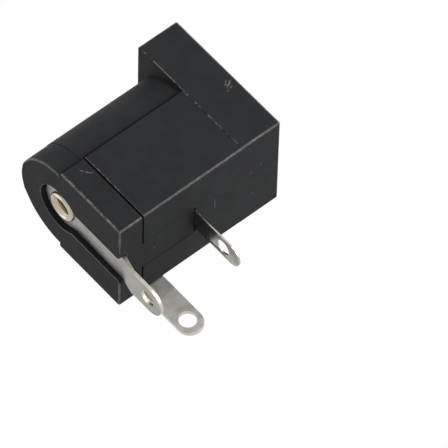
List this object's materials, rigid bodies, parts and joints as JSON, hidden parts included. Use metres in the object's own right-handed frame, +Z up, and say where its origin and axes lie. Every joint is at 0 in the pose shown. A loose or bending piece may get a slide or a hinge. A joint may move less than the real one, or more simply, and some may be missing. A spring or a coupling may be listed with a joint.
{
  "type": "dc barrel jack",
  "caption": "Right-angle DC barrel jack for a circuit board, with a square-cornered front flange, a round-topped body, a riveted centre pin and solder terminals pointing down.",
  "frame": {"origin": "on the face that lies on the circuit board, under the plug axis, 4 mm behind the front face", "axes": "+Z up off the board, so the terminals point along -Z; the plug comes in from -Y; +X is the side with the switch terminal"},
  "size_m": [0.0094, 0.0142, 0.0159],
  "materials": {
    "housing_plastic": "charcoal moulded plastic with a faint satin sheen, light rub marks along its edges",
    "cap_plastic": "charcoal moulded plastic, slightly rough, with a ragged light edge where it was trimmed",
    "pin_metal": "bright nickel plate over brass, turned",
    "tip_plate": "tin-plated stamped sheet, satin, with bright cut edges",
    "spring_plate": "tin-plated spring sheet, satin, slightly warm",
    "switch_plate": "tin-plated stamped sheet, satin, with bright cut edges"
  },
  "bodies": {
    "root": {"housing": "housing_plastic", "rear_cap": "cap_plastic", "centre_pin": "pin_metal", "tip_terminal": "tip_plate", "sleeve_contact": "spring_plate", "switch_contact": "switch_plate"}
  },
  "joints": []
}
